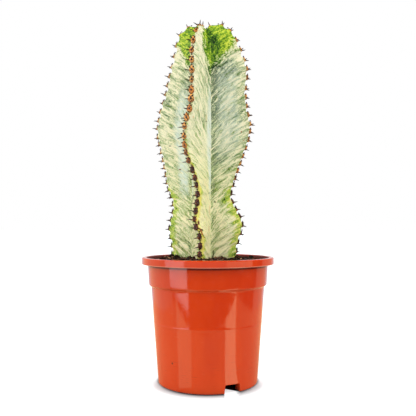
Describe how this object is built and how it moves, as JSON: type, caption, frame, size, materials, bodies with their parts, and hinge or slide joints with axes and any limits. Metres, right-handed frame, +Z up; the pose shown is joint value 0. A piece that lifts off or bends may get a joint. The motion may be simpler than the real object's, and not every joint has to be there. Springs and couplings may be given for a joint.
{
  "type": "potted euphorbia",
  "caption": "Upright variegated candelabra spurge with wavy spined ribs, rooted in potting mix in a tapered plastic nursery pot with a turned-down rim.",
  "frame": {"origin": "centre of the pot's foot on the surface that it stands on", "axes": "+Z up along the plant, -Y towards the front, +X to the right as seen from the front"},
  "size_m": [0.17, 0.17, 0.4667],
  "materials": {
    "pot_plastic": "terracotta-orange moulded polypropylene, satin gloss",
    "potting_mix": "damp dark peat and bark chips, matt and lumpy",
    "stem_skin": "living succulent skin, waxy satin, cream marbled with green",
    "horn": "horny spine shields and spines, dry and slightly glossy"
  },
  "bodies": {
    "root": {"pot": "pot_plastic", "soil": "potting_mix", "stem": "stem_skin"}
  },
  "joints": []
}
